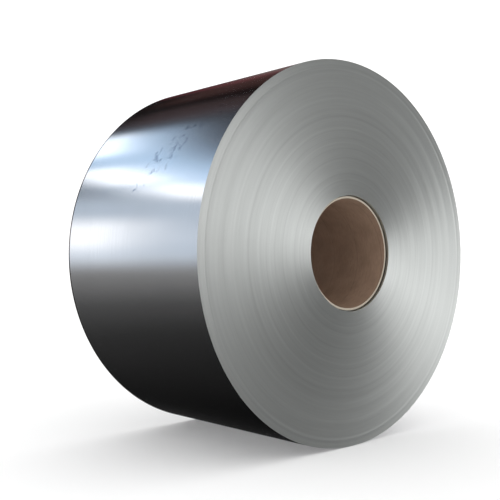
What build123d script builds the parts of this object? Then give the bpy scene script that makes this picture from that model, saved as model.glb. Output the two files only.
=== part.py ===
from build123d import *
import math
import os

# A coil of cold-rolled steel strip, wound on a paper core and lying on its side.
# Millimetres. +X runs along the coil's axis, out of the end that shows, and +Z is up.
# The origin is on the floor, under the middle of the coil.

# Strip
STRIP_WIDTH = 1000.0
STRIP_THICKNESS = 0.8
OUTER_DIAMETER = 1770.0
TAIL_ANGLE = -60.0  # where the strip's outer end lies, from +Y towards +Z: low on the far side

# Paper core
CORE_BORE = 508.0
CORE_WALL = 10.0
CORE_INSET = 14.0  # how far each end of the core lies inside the coil

# Laps that were not wound flush with the rest
INNER_LAPS_BUILD = 4.0  # the first laps on the core
INNER_LAPS_INSET = 26.0
GROOVE_BUILD = 12.0  # a narrow band of laps near the outside
GROOVE_INSET = 3.5
OUTER_BAND_BUILD = 30.0  # the last laps, outside the groove

# Between the two, groups of laps wandered sideways as they wound, by up to this much. Each pair is
# the share of that build-up at which a group ends, and the share of the wander that pushes it to +X.
WANDER = 1.2
WANDER_SHARES = (
    (0.12, 0.2),
    (0.22, -0.5),
    (0.33, 0.4),
    (0.42, -0.7),
    (0.51, 0.5),
    (0.60, 1.0),
    (0.67, -0.4),
    (0.73, 0.3),
    (0.80, -0.6),
    (0.86, 0.4),
    (0.92, -1.0),
    (0.96, 0.1),
    (1.00, 0.9),
)
WANDER_SLOPE = 12.0  # the radial build over which one group runs into the next
OUTER_BAND_SHIFT = 0.4

OUTER_RADIUS = OUTER_DIAMETER / 2
CORE_OUTER_RADIUS = CORE_BORE / 2 + CORE_WALL
AXIS_HEIGHT = OUTER_RADIUS


def lap_groups():
    """Each group of laps from the core outwards: first radius, last radius and shift at each end."""
    first = CORE_OUTER_RADIUS
    last = first + INNER_LAPS_BUILD
    groups = [(first, last, -INNER_LAPS_INSET, INNER_LAPS_INSET)]
    start = last
    build = OUTER_RADIUS - OUTER_BAND_BUILD - GROOVE_BUILD - start
    first = start
    for build_share, wander_share in WANDER_SHARES:
        last = start + build_share * build
        groups.append((first, last, wander_share * WANDER, wander_share * WANDER))
        first = last + WANDER_SLOPE
    first = OUTER_RADIUS - OUTER_BAND_BUILD - GROOVE_BUILD
    last = OUTER_RADIUS - OUTER_BAND_BUILD
    groups.append((first, last, -GROOVE_INSET, GROOVE_INSET))
    groups.append((last, OUTER_RADIUS + STRIP_THICKNESS, OUTER_BAND_SHIFT, OUTER_BAND_SHIFT))
    return groups


def turned_laps():
    """The laps as one turned solid: every group keeps the strip's width, moved by its own shift.
    The last group reaches one thickness too far, and is trimmed to the outermost turn."""
    near_end = []
    far_end = []
    for first, last, near_shift, far_shift in lap_groups():
        near_end += [(STRIP_WIDTH / 2 + near_shift, first), (STRIP_WIDTH / 2 + near_shift, last)]
        far_end += [(-STRIP_WIDTH / 2 + far_shift, first), (-STRIP_WIDTH / 2 + far_shift, last)]
    section = make_face(Polyline(*near_end, *reversed(far_end), close=True))
    return revolve(section, Axis.X)


def outermost_turn():
    """What the outermost turn encloses: four quarter arcs, each smaller by a quarter of the strip's
    thickness, so that the strip's outer end stands one thickness above the turn beneath it."""
    drop = STRIP_THICKNESS / 4
    centre = Vector(0, 0)
    radius = OUTER_RADIUS
    angle = TAIL_ANGLE
    quarters = []
    for _ in range(4):
        quarters.append(CenterArc(centre, radius, angle, -90))
        angle -= 90
        centre += Vector(math.cos(math.radians(angle)), math.sin(math.radians(angle))) * drop
        radius -= drop
    cut_end = Line(quarters[-1] @ 1, quarters[0] @ 0)
    outline = make_face(Curve() + [*quarters, cut_end])
    return extrude(Plane.YZ * outline, amount=STRIP_WIDTH, both=True)


def steel_coil():
    return turned_laps() & outermost_turn()


def paper_core():
    """A plain wound paper tube, a little shorter than the strip is wide."""
    length = STRIP_WIDTH - 2 * CORE_INSET
    section = Plane.YZ * (Circle(CORE_OUTER_RADIUS) - Circle(CORE_BORE / 2))
    return extrude(section, amount=length / 2, both=True)


def main():
    os.makedirs("parts", exist_ok=True)
    lift = Pos(0, 0, AXIS_HEIGHT)
    export_step(lift * steel_coil(), "parts/steel_coil.step")
    export_step(lift * paper_core(), "parts/paper_core.step")


main()
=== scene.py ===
"""The looks of a coil of bright steel strip on a paper core. Metres, in the part's own frame:
+X along the coil's axis, out of the end that shows, and +Z up."""

import math
import random

import bpy
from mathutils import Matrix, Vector


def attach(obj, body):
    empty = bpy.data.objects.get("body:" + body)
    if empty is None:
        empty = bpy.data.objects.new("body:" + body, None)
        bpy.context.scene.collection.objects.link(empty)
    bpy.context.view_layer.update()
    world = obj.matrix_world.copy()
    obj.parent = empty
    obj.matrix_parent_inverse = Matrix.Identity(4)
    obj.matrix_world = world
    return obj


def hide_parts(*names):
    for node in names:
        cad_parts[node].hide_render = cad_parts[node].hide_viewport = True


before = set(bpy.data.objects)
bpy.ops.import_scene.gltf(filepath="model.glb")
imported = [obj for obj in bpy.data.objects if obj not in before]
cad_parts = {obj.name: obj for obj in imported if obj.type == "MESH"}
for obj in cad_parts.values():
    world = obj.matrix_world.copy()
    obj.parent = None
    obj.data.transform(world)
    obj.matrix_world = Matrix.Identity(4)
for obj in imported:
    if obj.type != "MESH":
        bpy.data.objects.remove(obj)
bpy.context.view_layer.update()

MM = 0.001

# Strip
WIDTH = 1000 * MM
OUTER_RADIUS = 885 * MM
AXIS_HEIGHT = OUTER_RADIUS
SHEET = 0.8 * MM
TAIL_ANGLE = math.radians(-60)  # the strip's outer end, from +Y towards +Z

# Paper core
CORE_BORE_RADIUS = 254 * MM
CORE_WALL = 10 * MM
CORE_OUTER_RADIUS = CORE_BORE_RADIUS + CORE_WALL
CORE_INSET = 14 * MM
CORE_EDGE = 0.6 * MM  # how far its cut ends are eased

# Laps that do not lie flush, from the core outwards
FIRST_LAPS_BUILD = 4 * MM
FIRST_LAPS_INSET = 26 * MM
GROOVE_BUILD = 12 * MM
GROOVE_INSET = 0.2 * MM
GROOVE_EASE = 5.5 * MM  # its laps run down and up over this much build
OUTER_BAND_BUILD = 30 * MM
OUTER_BAND_SHIFT = 0.2 * MM

# Between the first laps and the groove, groups of laps wandered sideways. Each pair is the share of
# that build at which a group ends, and the share of the wander that pushes it to +X.
WANDER = 0.32 * MM
WANDER_SHARES = (
    (0.12, 0.2),
    (0.22, -0.5),
    (0.33, 0.4),
    (0.42, -0.7),
    (0.51, 0.5),
    (0.60, 1.0),
    (0.67, -0.4),
    (0.73, 0.3),
    (0.80, -0.6),
    (0.86, 0.4),
    (0.92, -1.0),
    (0.96, 0.1),
    (1.00, 0.9),
)
LAP_BUNDLE = 6 * MM  # inside each group, laps wandered together by a hair
HAIR = 0.008 * MM
HAIR_SEED = 7

# Mesh
COIL_STEPS = 360
CORE_STEPS = 240
MERGE = 0.01 * MM
SAME_ANGLE = 0.0001  # in radians
SMOOTH_UNDER = math.radians(20)
END_LEAN = 0.5  # a face whose normal leans further than this towards X belongs to an end
SIDE_DEPTH = 3 * SHEET  # faces of the strip no deeper than this can belong to its bright side

# Camera, in the photograph's frame of 500 pixels
FRAME_PIXELS = 500
SENSOR = 36.0
FOCAL_PIXELS = 777.3
OFF_CENTRE_PIXELS = 50
CAMERA_PLACE = (2.887, -2.682, 0.844)
CAMERA_YAW = math.radians(45.47)
CAMERA_TILT = math.radians(0.894)

# Bright rolled face of the strip
SIDE_TONES = ((0.86, 0.86, 0.87, 1), (0.78, 0.78, 0.79, 1))
SIDE_ROUGHNESS = 0.15
HAZE = 0.04
HAZE_SCALE = 3.0
HAZE_SPREAD = (0.3, 0.7)
ROLL_LINES = 160.0
ROLL_LINE_DEPTH = 0.004 * MM
FAR_EDGE_PAINTED_SHADE = (8 * MM, 13 * MM)  # painted shade along the far edge of the strip: a dark band standing in for the dark reflection of its turned edge
PAINTED_SHADE_TONE = (0.10, 0.08, 0.078, 1)

# Scuffs: small broken smears in a patch on the near side. Metres along the axis and above it to the
# patch's middle, its half width and half height, and how much it rises with each metre along.
SCUFF_PATCH = {"along": 0.17, "wide": 0.55, "height": 0.30, "high": 0.26, "slant": 0.80}
SCUFF_SCALE = 17.0
SCUFF_FINENESS = 0.09
SCUFF_BREAKS = (0.36, 0.46)
SCUFF_BREAKS_SCALE = 22.1
SCUFF_BREAKS_PLACE = (3, 5, 7)
SCUFF_RUBBED = (0.45, 0.65)
SCUFF_RUBBED_SCALE = 34.0
SCUFF_FAINTEST = 0.25
SCUFF_TONE = (0.46, 0.50, 0.58, 1)
SCUFF_HAZE = 0.10

# Cut edges of the strip, side by side on the ends
EDGE_TONE = (0.735, 0.755, 0.742)
EDGE_ROUGHNESS = 0.65
EDGE_ROUGHNESS_SPREAD = 0.1
EDGE_BRUSHED = 0.95
LAP_LINES = 420.0
LAP_CONTRAST = 0.09
LAP_DEPTH = 0.007 * MM
GROUP_LINES = 40.0
GROUP_CONTRAST = 0.10
DRAG_CONTRAST = 0.12
DRAG_LINES = 90
DRAG_LENGTH = (3, 3, 3)
PAINTED_RING_LIGHT_AND_SHADE = (  # painted light and shade of laps that stand proud or sit back: radius and half width in millimetres, and how much lighter; the last pair paints the groove's lit rim and its shaded floor
    (335, 6, -0.05),
    (368, 5, -0.05),
    (438, 6, -0.05),
    (482, 6, -0.05),
    (509, 5, 0.05),
    (531, 6, -0.05),
    (575, 9, 0.05),
    (628, 10, -0.05),
    (708, 10, 0.05),
    (842, 9, 0.05),
    (856, 8, -0.05),
)

# Wound kraft board of the core
KRAFT_TONES = ((0.235, 0.155, 0.108, 1), (0.33, 0.225, 0.16, 1))
FIBRE_LINES = 220
FIBRE_LENGTH = (8, 8, 8)
FIBRE_SPREAD = (0.15, 0.85)
FIBRE_DEPTH = 0.12  # against the seam's depth
BLOTCH_TONE = (0.17, 0.11, 0.075, 1)
BLOTCH_SCALE = 14.0
BLOTCH_SPREAD = (0.35, 0.7)
BLOTCH_SHARE = 0.35
LAPPED_SHARE = 0.12
SEAM_TONE = (0.07, 0.045, 0.03, 1)
PLY_PITCH = 155 * MM
SEAM_GAP = 1.2 * MM
SEAM_DEPTH = 0.4 * MM
SEAM_SHARE = 0.75
CUT_TONES = ((0.36, 0.31, 0.245, 1), (0.52, 0.47, 0.39, 1))
PLY_LINES = 900.0
PLY_SPREAD = (0.35, 0.65)
PLY_DEPTH = 0.3 * MM
BOARD_ROUGHNESS = 0.75
BOARD_SHINE = 0.25

# Light. The steel mirrors a dim studio. Each pair is how far up a direction points and its grey there,
# for directions behind the coil's near end.
ROOM_LIGHT = 1.25
FLOOR_RADIUS = 40
FLOOR_SIDES = 96
FLOOR_GREY = 0.95
STUDIO_TONES = (
    (-0.75, 0.008),
    (-0.60, 0.015),
    (-0.45, 0.031),
    (-0.30, 0.078),
    (-0.13, 0.22),
    (-0.02, 0.37),
    (0.06, 0.16),
    (0.20, 0.03),
    (0.60, 0.010),
    (0.75, 0.010),
)
FAR_SHADE = 0.3
FAR_SHADE_FROM = (-0.2, 0.35)  # how far towards +Y a direction points
FRONT_TONE = 0.155
FRONT_FROM = (-0.25, 0.15)  # how far towards +X a direction points

PATCH_HORIZON = 0.15  # a box's light fades out where it would wrap round behind

# Boxes and cards in the studio. In degrees: azimuth from +X towards +Y, elevation, half width, half
# height, softness and tilt. Then the tone, which adds to what is there.
SURROUNDINGS = (
    # A long cool softbox above the strip's bright side, with brighter panels along its foot
    ((-164, 29.7, 16.5, 4.2, 3.6, 15), (0.50, 0.72, 0.98)),
    ((-158, 32, 24, 8, 6, 14), (0.08, 0.09, 0.11)),
    ((-179, 30.2, 5.0, 2.4, 1.6, 10), (1.3, 1.3, 1.3)),
    ((-161.5, 26.2, 5.0, 1.5, 1.2, 17), (1.8, 1.7, 1.6)),
    ((-150, 22.5, 4.5, 1.6, 1.2, 23), (1.4, 1.3, 1.2)),
    # A pale card under it, a brighter one on that, and a flag that shades the card's foot
    ((-143, 9, 24, 12, 4, 0), (0.48, 0.56, 0.66)),
    ((-153.5, 7, 5, 5, 3, 0), (0.8, 0.75, 0.7)),
    ((-141, -0.3, 6, 2.8, 3.5, 0), (-0.23, -0.23, -0.23)),
    # Dark warm cards on the other side
    ((167, 37, 5, 6, 2.5, 0), (0.045, 0.030, 0.031)),
    ((148, 32, 6, 7, 2.5, -24), (0.046, 0.022, 0.020)),
    ((146, 19, 3, 9, 2, -20), (0.09, 0.025, 0.03)),
    ((137, 20, 5, 12, 3, -10), (0.17, 0.125, 0.12)),
    # Softboxes in front of the end
    ((85, 30, 20, 20, 10, 0), (1.7, 1.7, 1.7)),
    ((72, 25, 20, 20, 10, 0), (1.3, 1.3, 1.3)),
    ((62, 2, 18, 10, 7, 0), (0.65, 0.65, 0.65)),
    ((10, -12, 14, 12, 8, 0), (0.3, 0.3, 0.3)),
    ((75, -40, 28, 18, 10, 0), (1.5, 1.5, 1.5)),
    ((30, -45, 20, 20, 10, 0), (1.3, 1.3, 1.3)),
    ((0, -40, 20, 20, 10, 0), (0.35, 0.35, 0.35)),
    # Softboxes behind, for the far end
    ((106, -8, 10, 14, 8, 0), (1.4, 1.4, 1.4)),
    ((-110, 8, 12, 16, 8, 0), (1.8, 1.8, 1.8)),
    ((180, 84, 24, 9, 7, 0), (1.0, 1.0, 1.0)),
)


def add_camera():
    """The camera at the photograph's place, with its frame shifted as the photograph's was cut."""
    data = bpy.data.cameras.new("camera")
    data.sensor_width = SENSOR
    data.lens = FOCAL_PIXELS / FRAME_PIXELS * SENSOR
    data.shift_x = -OFF_CENTRE_PIXELS / FRAME_PIXELS
    camera = bpy.data.objects.new("camera", data)
    bpy.context.scene.collection.objects.link(camera)
    camera.location = CAMERA_PLACE
    camera.rotation_euler = (math.pi / 2 + CAMERA_TILT, 0, CAMERA_YAW)
    bpy.context.scene.camera = camera


def only(piece):
    """Makes this the one selected and active object."""
    bpy.ops.object.select_all(action="DESELECT")
    bpy.context.view_layer.objects.active = piece
    piece.select_set(True)


def face_profile():
    """(shift along +X, radius) of every lap bundle on an end face, from the bore outwards. One group
    of laps runs gently into the next, as the strip drifted while it was wound."""
    pick = random.Random(HAIR_SEED)
    start = CORE_OUTER_RADIUS + FIRST_LAPS_BUILD
    build = OUTER_RADIUS - OUTER_BAND_BUILD - GROOVE_BUILD - start
    middles = [(start, WANDER_SHARES[0][1])]
    first = start
    for build_share, wander_share in WANDER_SHARES:
        last = start + build_share * build
        middles.append(((first + last) / 2, wander_share))
        first = last
    middles.append((first, WANDER_SHARES[-1][1]))
    points = []
    for (near, share), (far, next_share) in zip(middles, middles[1:]):
        count = max(1, round((far - near) / LAP_BUNDLE))
        for i in range(count):
            along = i / count
            eased = along * along * (3 - 2 * along)
            hair = pick.uniform(-HAIR, HAIR) if 0 < i else 0
            drift = (share + (next_share - share) * eased) * WANDER
            points.append((drift + hair, near + (far - near) * along))
    points.append((WANDER_SHARES[-1][1] * WANDER, middles[-1][0]))
    return points


def coil_section():
    """The closed outline of the wound laps as (x, radius), near end first."""
    first_laps = (CORE_OUTER_RADIUS, CORE_OUTER_RADIUS + FIRST_LAPS_BUILD)
    laps = face_profile()
    outer_band = OUTER_RADIUS - OUTER_BAND_BUILD
    groove_floor = (outer_band - GROOVE_BUILD + GROOVE_EASE, outer_band - GROOVE_EASE)
    outline = []
    for side in (1, -1):
        end = side * WIDTH / 2
        edge = [(end - side * FIRST_LAPS_INSET, r) for r in first_laps]
        edge += [(end + shift, r) for shift, r in laps]
        edge += [(end - side * GROOVE_INSET, r) for r in groove_floor]
        edge += [(end + OUTER_BAND_SHIFT, r) for r in (outer_band, OUTER_RADIUS - SHEET, OUTER_RADIUS)]
        outline += edge if side > 0 else reversed(edge)
    return outline


def core_section():
    """The closed outline of the paper tube as (x, radius), its cut ends slightly eased."""
    end = WIDTH / 2 - CORE_INSET
    outline = []
    for side in (1, -1):
        edge = [
            (side * (end - CORE_EDGE), CORE_BORE_RADIUS),
            (side * end, CORE_BORE_RADIUS + CORE_EDGE),
            (side * end, CORE_OUTER_RADIUS - CORE_EDGE),
            (side * (end - CORE_EDGE), CORE_OUTER_RADIUS),
        ]
        outline += edge if side > 0 else reversed(edge)
    return outline


def drawn(name, corners):
    """A closed line through the corners, drawn by extruding one point from each corner to the next."""
    bpy.ops.object.select_all(action="DESELECT")
    bpy.ops.mesh.primitive_plane_add(size=SHEET, location=(0, 0, 0))
    piece = bpy.context.active_object
    piece.name = name
    piece.data.name = name
    bpy.ops.object.mode_set(mode="EDIT")
    bpy.ops.mesh.select_mode(type="VERT")
    bpy.ops.mesh.select_all(action="SELECT")
    bpy.ops.mesh.merge(type="CENTER")
    bpy.ops.transform.translate(value=corners[0])
    for here, there in zip(corners, corners[1:] + corners[:1]):
        bpy.ops.mesh.extrude_region_move(TRANSFORM_OT_translate={"value": there - here})
    bpy.ops.mesh.select_all(action="SELECT")
    bpy.ops.mesh.remove_doubles(threshold=MERGE)
    bpy.ops.object.mode_set(mode="OBJECT")
    return piece


def turned(name, section, steps):
    """A closed section of (x, radius) points, drawn at the tail's angle and turned once round the axis.
    The first and last columns of points stay apart, so that the outer turn can wind inwards."""
    across = Vector((0, math.cos(TAIL_ANGLE), math.sin(TAIL_ANGLE)))
    piece = drawn(name, [Vector((x, 0, 0)) + across * r for x, r in section])
    only(piece)
    turn = piece.modifiers.new("turn", "SCREW")
    turn.axis = "X"
    turn.angle = 2 * math.pi
    turn.screw_offset = 0
    turn.steps = steps
    turn.render_steps = steps
    turn.use_merge_vertices = False
    bpy.ops.object.modifier_apply(modifier=turn.name)
    return piece


def wind_in(piece, column):
    """The outermost turn winds in by one thickness, so the strip's end stands above the turn beneath.
    The first column of points, at the tail, winds in the most."""
    for vertex in piece.data.vertices:
        x, y, z = vertex.co
        radius = math.hypot(y, z)
        if radius < OUTER_RADIUS - SHEET / 2:
            continue
        angle = (math.atan2(z, y) - TAIL_ANGLE) % (2 * math.pi)
        if min(angle, 2 * math.pi - angle) < SAME_ANGLE:
            angle = 0 if vertex.index < column else 2 * math.pi
        wound = radius - SHEET * (1 - angle / (2 * math.pi))
        vertex.co = (x, y * wound / radius, z * wound / radius)


def close_up(piece):
    """Joins the turned shape's first column to its last, fills the strip's cut end, and lifts the piece
    from the axis to its place above the floor."""
    only(piece)
    bpy.ops.object.mode_set(mode="EDIT")
    bpy.ops.mesh.select_all(action="SELECT")
    bpy.ops.mesh.remove_doubles(threshold=MERGE)
    bpy.ops.mesh.select_all(action="DESELECT")
    bpy.ops.mesh.select_non_manifold(extend=False)
    if piece.data.total_edge_sel:
        bpy.ops.mesh.edge_face_add()
    bpy.ops.mesh.select_all(action="SELECT")
    bpy.ops.mesh.normals_make_consistent(inside=False)
    bpy.ops.object.mode_set(mode="OBJECT")
    piece.location = (0, 0, AXIS_HEIGHT)
    bpy.ops.object.transform_apply()
    bpy.ops.object.shade_smooth_by_angle(angle=SMOOTH_UNDER)


def on_end(face):
    """Whether a face looks along the axis more than away from it."""
    return abs(face.normal.x) > END_LEAN


def on_side(face):
    """Whether a face of the strip is on its outermost turn."""
    arm = math.hypot(face.center.y, face.center.z - AXIS_HEIGHT)
    return arm > OUTER_RADIUS - SIDE_DEPTH and not on_end(face)


class Nodes:
    """A node tree, with short calls for the few kinds of node that the materials use."""

    def __init__(self, owner):
        owner.use_nodes = True
        self.tree = owner.node_tree
        self.tree.nodes.clear()

    def add(self, kind, **settings):
        node = self.tree.nodes.new("ShaderNode" + kind)
        for name, value in settings.items():
            setattr(node, name, value)
        return node

    def feed(self, socket, value):
        if isinstance(value, bpy.types.NodeSocket):
            self.tree.links.new(value, socket)
        else:
            socket.default_value = value

    def maths(self, operation, a, b=0.0, c=0.0):
        node = self.add("Math", operation=operation)
        for socket, value in zip(node.inputs, (a, b, c)):
            self.feed(socket, value)
        return node.outputs[0]

    def vector(self, operation, a, b=(0, 0, 0), c=(0, 0, 0), scale=1.0):
        node = self.add("VectorMath", operation=operation)
        for socket, value in zip(node.inputs, (a, b, c, scale)):
            self.feed(socket, value)
        return node.outputs["Value" if operation in ("LENGTH", "DOT_PRODUCT") else "Vector"]

    def combine(self, x, y, z):
        node = self.add("CombineXYZ")
        for socket, value in zip(node.inputs, (x, y, z)):
            self.feed(socket, value)
        return node.outputs[0]

    def noise(self, vector, scale, detail, roughness=0.5):
        node = self.add("TexNoise")
        self.feed(node.inputs["Vector"], vector)
        self.feed(node.inputs["Scale"], scale)
        self.feed(node.inputs["Detail"], detail)
        self.feed(node.inputs["Roughness"], roughness)
        return node.outputs["Fac"]

    def noise_along(self, value, scale, detail):
        node = self.add("TexNoise", noise_dimensions="1D")
        self.feed(node.inputs["W"], value)
        self.feed(node.inputs["Scale"], scale)
        self.feed(node.inputs["Detail"], detail)
        return node.outputs["Fac"]

    def spread(self, value, low, high, to_low=0.0, to_high=1.0):
        """Takes low..high to to_low..to_high, smoothly, and holds it there outside."""
        node = self.add("MapRange", interpolation_type="SMOOTHSTEP")
        for socket, number in zip(node.inputs, (value, low, high, to_low, to_high)):
            self.feed(socket, number)
        return node.outputs[0]

    def near(self, value, middle, reach):
        """1 at the middle, falling smoothly to 0 at the reach on both sides."""
        away = self.maths("ABSOLUTE", self.maths("SUBTRACT", value, middle))
        return self.spread(away, 0.0, reach, 1, 0)

    def mix(self, share, a, b):
        node = self.add("Mix", data_type="RGBA")
        self.feed(node.inputs[0], share)
        self.feed(node.inputs[6], a)
        self.feed(node.inputs[7], b)
        return node.outputs[2]

    def bump(self, height, distance):
        node = self.add("Bump")
        self.feed(node.inputs["Height"], height)
        self.feed(node.inputs["Distance"], distance)
        self.feed(node.inputs["Strength"], 1.0)
        return node.outputs[0]


def grey(value):
    """An opaque grey."""
    return (value, value, value, 1)


def round_the_axis(nodes):
    """A point's distance along the axis, radius, arm from the axis, and its own coordinates."""
    place = nodes.add("TexCoord").outputs["Object"]
    arm = nodes.vector("MULTIPLY", nodes.vector("SUBTRACT", place, (0, 0, AXIS_HEIGHT)), (0, 1, 1))
    along = nodes.add("SeparateXYZ")
    nodes.feed(along.inputs[0], place)
    return along.outputs["X"], nodes.vector("LENGTH", arm), arm, place


def steel(nodes, **values):
    """The metal shader that both of the strip's finishes share."""
    shader = nodes.add("BsdfPrincipled")
    for name, value in values.items():
        nodes.feed(shader.inputs[name.replace("_", " ")], value)
    shader.inputs["Metallic"].default_value = 1.0
    nodes.tree.links.new(shader.outputs[0], nodes.add("OutputMaterial").inputs["Surface"])


def strip_side():
    """The strip's bright rolled face: a slightly hazy mirror with faint lines along the strip."""
    material = bpy.data.materials.new("bright_rolled_face")
    nodes = Nodes(material)
    along, _, arm, place = round_the_axis(nodes)
    lines = nodes.noise_along(along, ROLL_LINES, detail=4)
    cloud = nodes.noise(place, HAZE_SCALE, detail=3)
    lined = nodes.spread(lines, *HAZE_SPREAD, 0, 0.5)
    clouded = nodes.spread(cloud, *HAZE_SPREAD, 0, 0.5)
    haze = nodes.maths("ADD", lined, clouded)
    roughness = nodes.maths("MULTIPLY_ADD", haze, HAZE, SIDE_ROUGHNESS - HAZE / 2)
    tone = nodes.mix(haze, SIDE_TONES[0], SIDE_TONES[1])
    smear = scuffs(nodes, along, arm, place)
    tone = nodes.mix(smear, tone, SCUFF_TONE)
    roughness = nodes.maths("MULTIPLY_ADD", smear, SCUFF_HAZE, roughness)
    # Painted shade: the last few millimetres at the far edge are darkened, standing in for the dark
    # reflection of the strip's turned edge.
    painted_edge_shade = nodes.spread(along, -WIDTH / 2 + FAR_EDGE_PAINTED_SHADE[0], -WIDTH / 2 + FAR_EDGE_PAINTED_SHADE[1], 1, 0)
    tone = nodes.mix(painted_edge_shade, tone, PAINTED_SHADE_TONE)
    normal = nodes.bump(lines, ROLL_LINE_DEPTH)
    steel(nodes, Base_Color=tone, Roughness=roughness, Normal=normal)
    return material


def scuffs(nodes, along, arm, place):
    """Share of scuffing: a few fine rubbed curls in one patch of the outermost turn."""
    height = nodes.vector("DOT_PRODUCT", arm, (0, 0, 1))
    front = nodes.maths("LESS_THAN", nodes.vector("DOT_PRODUCT", arm, (0, 1, 0)), 0.0)
    slant = nodes.maths("MULTIPLY_ADD", along, -SCUFF_PATCH["slant"], height)
    patch = nodes.maths(
        "MULTIPLY",
        nodes.near(along, SCUFF_PATCH["along"], SCUFF_PATCH["wide"]),
        nodes.near(slant, SCUFF_PATCH["height"], SCUFF_PATCH["high"]),
    )
    curls = nodes.near(nodes.noise(place, SCUFF_SCALE, detail=1, roughness=0.4), 0.5, SCUFF_FINENESS)
    breaks_place = nodes.vector("ADD", place, SCUFF_BREAKS_PLACE)
    breaks = nodes.noise(breaks_place, SCUFF_BREAKS_SCALE, detail=1)
    marks = nodes.spread(nodes.maths("MULTIPLY", breaks, patch), *SCUFF_BREAKS)
    rubs = nodes.noise(place, SCUFF_RUBBED_SCALE, detail=3)
    rubbed = nodes.spread(rubs, *SCUFF_RUBBED, SCUFF_FAINTEST, 1)
    share = nodes.maths("MULTIPLY", nodes.maths("MULTIPLY", curls, marks), rubbed)
    return nodes.maths("MULTIPLY", share, front)


def strip_edges():
    """The strip's cut edges, side by side: matt, and brushed round the axis."""
    material = bpy.data.materials.new("cut_edges")
    nodes = Nodes(material)
    _, radius, arm, _ = round_the_axis(nodes)
    outward = nodes.vector("NORMALIZE", arm)
    round_about = nodes.vector("CROSS_PRODUCT", (1, 0, 0), outward)
    laps = nodes.noise_along(radius, LAP_LINES, detail=2)
    groups = nodes.noise_along(radius, GROUP_LINES, detail=3)
    ringed = nodes.combine(nodes.maths("MULTIPLY", radius, DRAG_LINES), 0, 0)
    drag_place = nodes.vector("MULTIPLY_ADD", outward, DRAG_LENGTH, ringed)
    drag = nodes.noise(drag_place, 1.0, detail=4, roughness=0.55)
    light = 1.0
    for streaks, contrast in ((laps, LAP_CONTRAST), (groups, GROUP_CONTRAST), (drag, DRAG_CONTRAST)):
        light = nodes.maths("MULTIPLY_ADD", nodes.maths("SUBTRACT", streaks, 0.5), contrast, light)
    # Painted light and shade: rings lightened or darkened where laps stand proud or sit back, and on
    # the groove near the outer band.
    for ring_radius, reach, lift in PAINTED_RING_LIGHT_AND_SHADE:
        ring = nodes.near(radius, ring_radius * MM, reach * MM)
        light = nodes.maths("MULTIPLY_ADD", ring, lift, light)
    tone = nodes.vector("SCALE", EDGE_TONE, scale=light)
    uneven = nodes.maths("SUBTRACT", groups, 0.5)
    roughness = nodes.maths("MULTIPLY_ADD", uneven, EDGE_ROUGHNESS_SPREAD, EDGE_ROUGHNESS)
    normal = nodes.bump(laps, LAP_DEPTH)
    steel(
        nodes,
        Base_Color=tone,
        Roughness=roughness,
        Anisotropic=EDGE_BRUSHED,
        Tangent=round_about,
        Normal=normal,
    )
    return material


def kraft_board(cut):
    """Wound kraft board: the brown face with its spiral seam, or a pale cut end with its plies."""
    material = bpy.data.materials.new("board_cut_end" if cut else "kraft_board")
    nodes = Nodes(material)
    along, radius, arm, place = round_the_axis(nodes)
    if cut:
        plies = nodes.noise_along(radius, PLY_LINES, detail=1)
        tone = nodes.mix(nodes.spread(plies, *PLY_SPREAD), CUT_TONES[0], CUT_TONES[1])
        normal = nodes.bump(plies, PLY_DEPTH)
    else:
        stretched = nodes.combine(nodes.maths("MULTIPLY", along, FIBRE_LINES), 0, 0)
        outward = nodes.vector("NORMALIZE", arm)
        fibre_place = nodes.vector("MULTIPLY_ADD", outward, FIBRE_LENGTH, stretched)
        fibres = nodes.noise(fibre_place, 1.0, detail=5, roughness=0.65)
        blotches = nodes.noise(place, BLOTCH_SCALE, detail=2)
        arm_parts = nodes.add("SeparateXYZ")
        nodes.feed(arm_parts.inputs[0], arm)
        angle = nodes.maths("ARCTAN2", arm_parts.outputs["Z"], arm_parts.outputs["Y"])
        around = nodes.maths("MULTIPLY", angle, 0.5 / math.pi)
        turns = nodes.maths("MULTIPLY_ADD", along, 1 / PLY_PITCH, around)
        seam = nodes.maths("PINGPONG", turns, 0.5)
        gap = nodes.spread(seam, 0.0, SEAM_GAP / PLY_PITCH, 1, 0)
        lapped = nodes.spread(nodes.maths("FRACT", turns), 0.0, 1.0, 0, 1)
        tone = nodes.mix(nodes.spread(fibres, *FIBRE_SPREAD), KRAFT_TONES[0], KRAFT_TONES[1])
        blotched = nodes.maths("MULTIPLY", nodes.spread(blotches, *BLOTCH_SPREAD), BLOTCH_SHARE)
        tone = nodes.mix(blotched, tone, BLOTCH_TONE)
        tone = nodes.mix(nodes.maths("MULTIPLY", lapped, LAPPED_SHARE), tone, KRAFT_TONES[1])
        tone = nodes.mix(nodes.maths("MULTIPLY", gap, SEAM_SHARE), tone, SEAM_TONE)
        height = nodes.maths("SUBTRACT", nodes.maths("MULTIPLY", fibres, FIBRE_DEPTH), gap)
        normal = nodes.bump(height, SEAM_DEPTH)
    shader = nodes.add("BsdfPrincipled")
    nodes.feed(shader.inputs["Base Color"], tone)
    nodes.feed(shader.inputs["Normal"], normal)
    shader.inputs["Roughness"].default_value = BOARD_ROUGHNESS
    shader.inputs["Specular IOR Level"].default_value = BOARD_SHINE
    nodes.tree.links.new(shader.outputs[0], nodes.add("OutputMaterial").inputs["Surface"])
    return material


def floor_paint():
    """The floor's plain pale paint."""
    material = bpy.data.materials.new("pale_floor")
    nodes = Nodes(material)
    shader = nodes.add("BsdfDiffuse")
    shader.inputs["Color"].default_value = grey(FLOOR_GREY)
    nodes.tree.links.new(shader.outputs[0], nodes.add("OutputMaterial").inputs["Surface"])
    return material


def pointing(azimuth, elevation):
    """The direction at an angle round from +X towards +Y, and at an angle up."""
    turn = math.radians(azimuth)
    lift = math.radians(elevation)
    return Vector((math.cos(lift) * math.cos(turn), math.cos(lift) * math.sin(turn), math.sin(lift)))


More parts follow.
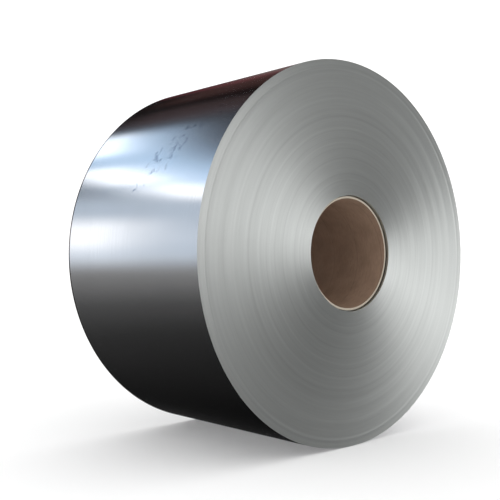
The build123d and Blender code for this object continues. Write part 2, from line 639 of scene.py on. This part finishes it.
def soft_patch(nodes, direction, patch):
    """Share of a soft-edged rectangle of the surroundings, in degrees, tilted by its last angle."""
    azimuth, elevation, wide, high, soft, tilt = patch
    ahead = pointing(azimuth, elevation)
    right = ahead.cross((0, 0, 1)).normalized()
    up = right.cross(ahead)
    lean = math.radians(tilt)
    across = right * math.cos(lean) + up * math.sin(lean)
    above = up * math.cos(lean) - right * math.sin(lean)
    depth = nodes.vector("DOT_PRODUCT", direction, ahead)
    share = nodes.spread(depth, 0.0, PATCH_HORIZON)
    for side, reach in ((across, wide), (above, high)):
        away = nodes.maths("DIVIDE", nodes.vector("DOT_PRODUCT", direction, side), depth)
        away = nodes.maths("ABSOLUTE", away)
        inner = math.tan(math.radians(max(reach - soft, 0)))
        outer = math.tan(math.radians(reach + soft))
        share = nodes.maths("MULTIPLY", share, nodes.spread(away, inner, outer, 1, 0))
    return share


def add_world():
    """White behind and on the floor, while the metal mirrors a dim studio with softboxes and cards."""
    world = bpy.data.worlds.new("studio")
    bpy.context.scene.world = world
    world.cycles.sampling_method = "NONE"
    nodes = Nodes(world)
    direction = nodes.add("TexCoord").outputs["Generated"]
    parts = nodes.add("SeparateXYZ")
    nodes.feed(parts.inputs[0], direction)
    studio = nodes.add("ValToRGB")
    stops = studio.color_ramp.elements
    for stop, (height, tone) in zip(stops, (STUDIO_TONES[0], STUDIO_TONES[-1])):
        stop.position = (height + 1) / 2
        stop.color = grey(tone)
    for height, tone in STUDIO_TONES[1:-1]:
        stops.new((height + 1) / 2).color = grey(tone)
    nodes.feed(studio.inputs[0], nodes.maths("MULTIPLY_ADD", parts.outputs["Z"], 0.5, 0.5))
    far_side = nodes.spread(parts.outputs["Y"], *FAR_SHADE_FROM, 1, FAR_SHADE)
    behind = nodes.vector("SCALE", studio.outputs["Color"], scale=far_side)
    seen = nodes.mix(nodes.spread(parts.outputs["X"], *FRONT_FROM), behind, grey(FRONT_TONE))
    for patch, tone in SURROUNDINGS:
        seen = nodes.vector("MULTIPLY_ADD", soft_patch(nodes, direction, patch), tone, seen)
    mirrored = nodes.add("LightPath").outputs["Is Glossy Ray"]
    background = nodes.add("Background")
    nodes.feed(background.inputs["Color"], nodes.mix(mirrored, grey(ROOM_LIGHT), seen))
    nodes.tree.links.new(background.outputs[0], nodes.add("OutputWorld").inputs["Surface"])


# The coil, turned, with its two finishes
outline = coil_section()
coil = turned("wound_strip", outline, COIL_STEPS)
wind_in(coil, len(outline))
close_up(coil)
coil.data.materials.append(strip_side())
coil.data.materials.append(strip_edges())
for face in coil.data.polygons:
    face.material_index = 0 if on_side(face) else 1
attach(coil, "root")
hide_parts("steel_coil")

# The core, with eased cut ends
tube = turned("paper_tube", core_section(), CORE_STEPS)
close_up(tube)
tube.data.materials.append(kraft_board(cut=False))
tube.data.materials.append(kraft_board(cut=True))
for face in tube.data.polygons:
    face.material_index = 1 if on_end(face) else 0
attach(tube, "root")
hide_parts("paper_core")

# Floor, light and camera
bpy.ops.object.select_all(action="DESELECT")
bpy.ops.mesh.primitive_circle_add(vertices=FLOOR_SIDES, radius=FLOOR_RADIUS, fill_type="NGON")
floor = bpy.context.active_object
floor.name = "floor"
floor.data.materials.append(floor_paint())
floor.visible_glossy = False
add_world()
add_camera()
bpy.context.scene.view_settings.view_transform = "Standard"
